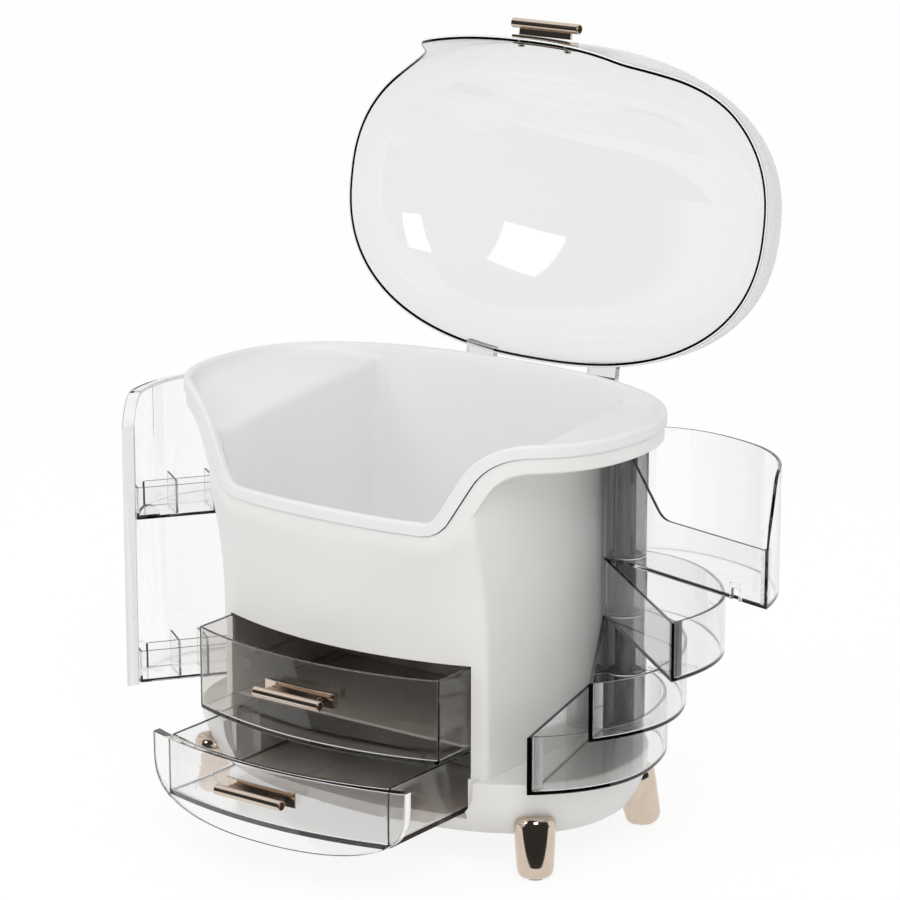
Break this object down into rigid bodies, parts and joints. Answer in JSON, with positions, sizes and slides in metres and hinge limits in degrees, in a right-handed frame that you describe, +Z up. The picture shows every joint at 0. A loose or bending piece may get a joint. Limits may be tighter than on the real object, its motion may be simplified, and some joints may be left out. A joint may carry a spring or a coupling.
{
  "type": "makeup organizer",
  "caption": "Free-standing cosmetics case: drawers in a bowed column, swivel trays and a shelf door at the sides, and an open tub under a clear hinged dome.",
  "frame": {"origin": "centre of the four feet on the floor", "axes": "+Z up, -Y towards the front with the drawers, +X towards the swivel trays"},
  "size_m": [0.4731, 0.4096, 0.5146],
  "materials": {
    "white_abs": "gloss moulded",
    "white_acetal": "satin moulded",
    "clear_plastic": "polished clear",
    "smoke_plastic": "polished smoke tint",
    "rose_gold": "rose gold plating",
    "steel": "zinc plated",
    "sole_pad": "matte"
  },
  "bodies": {
    "case": {"plinth_shell": "white_abs", "base_plate": "white_abs", "base_plate_screws": "steel", "feet": "rose_gold", "foot_screws": "steel", "foot_pads": "sole_pad", "column_shell": "white_abs", "column_screws": "steel", "back_panel": "white_abs", "back_panel_screws": "steel", "drawer_shelf": "white_abs", "drawer_guides": "white_acetal", "top_tub": "white_abs", "tray_pivot_rod": "steel", "tray_washers": "white_acetal", "door_pivot_pins": "steel", "lid_hinge_brackets": "white_abs", "lid_hinge_pins": "steel", "hinge_bracket_screws": "steel"},
    "lid": {"lid_shell": "clear_plastic", "lid_handle_bar": "rose_gold", "lid_handle_strip": "rose_gold", "lid_handle_inner_plate": "rose_gold", "lid_handle_screws": "steel"},
    "upper_drawer": {"upper_drawer_box": "smoke_plastic", "upper_handle_bar": "rose_gold", "upper_handle_plate": "rose_gold", "upper_handle_screws": "steel"},
    "lower_drawer": {"lower_drawer_box": "smoke_plastic", "lower_drawer_front": "smoke_plastic", "lower_handle_bar": "rose_gold", "lower_handle_plate": "rose_gold", "lower_handle_screws": "steel"},
    "door": {"door_panel": "clear_plastic", "door_upper_shelf": "clear_plastic", "door_lower_shelf": "clear_plastic", "door_upper_dividers": "smoke_plastic", "door_lower_dividers": "smoke_plastic", "door_catch": "clear_plastic"},
    "lower_tray": {"lower_tray": "smoke_plastic"},
    "middle_tray": {"middle_tray": "smoke_plastic"},
    "upper_tray": {"upper_tray": "smoke_plastic"},
    "bin": {"top_bin": "clear_plastic", "bin_catch": "clear_plastic"}
  },
  "joints": [
    {"name": "lid_hinge", "type": "hinge", "parent": "case", "child": "lid", "pos_m": [0, 0.1154, 0.2757], "axis": [1, 0, 0], "range_deg": [0, 99.5]},
    {"name": "upper_drawer_slide", "type": "slide", "parent": "case", "child": "upper_drawer", "axis": [0, -1, 0], "range_m": [-0.0335, 0.08]},
    {"name": "lower_drawer_slide", "type": "slide", "parent": "case", "child": "lower_drawer", "axis": [0, -1, 0], "range_m": [-0.07, 0.04]},
    {"name": "door_hinge", "type": "hinge", "parent": "case", "child": "door", "pos_m": [-0.1235, 0.057, 0.16], "axis": [0, 0, 1], "range_deg": [-59, 36]},
    {"name": "lower_tray_swivel", "type": "hinge", "parent": "case", "child": "lower_tray", "pos_m": [0.1235, 0.057, 0.16], "axis": [0, 0, 1], "range_deg": [-14.5, 85.5]},
    {"name": "middle_tray_swivel", "type": "hinge", "parent": "case", "child": "middle_tray", "pos_m": [0.1235, 0.057, 0.16], "axis": [0, 0, 1], "range_deg": [-30.5, 69.5]},
    {"name": "upper_tray_swivel", "type": "hinge", "parent": "case", "child": "upper_tray", "pos_m": [0.1235, 0.057, 0.16], "axis": [0, 0, 1], "range_deg": [-50.8, 49.2]},
    {"name": "bin_swivel", "type": "hinge", "parent": "case", "child": "bin", "pos_m": [0.1235, 0.057, 0.16], "axis": [0, 0, 1], "range_deg": [-76.8, 23.2]}
  ]
}
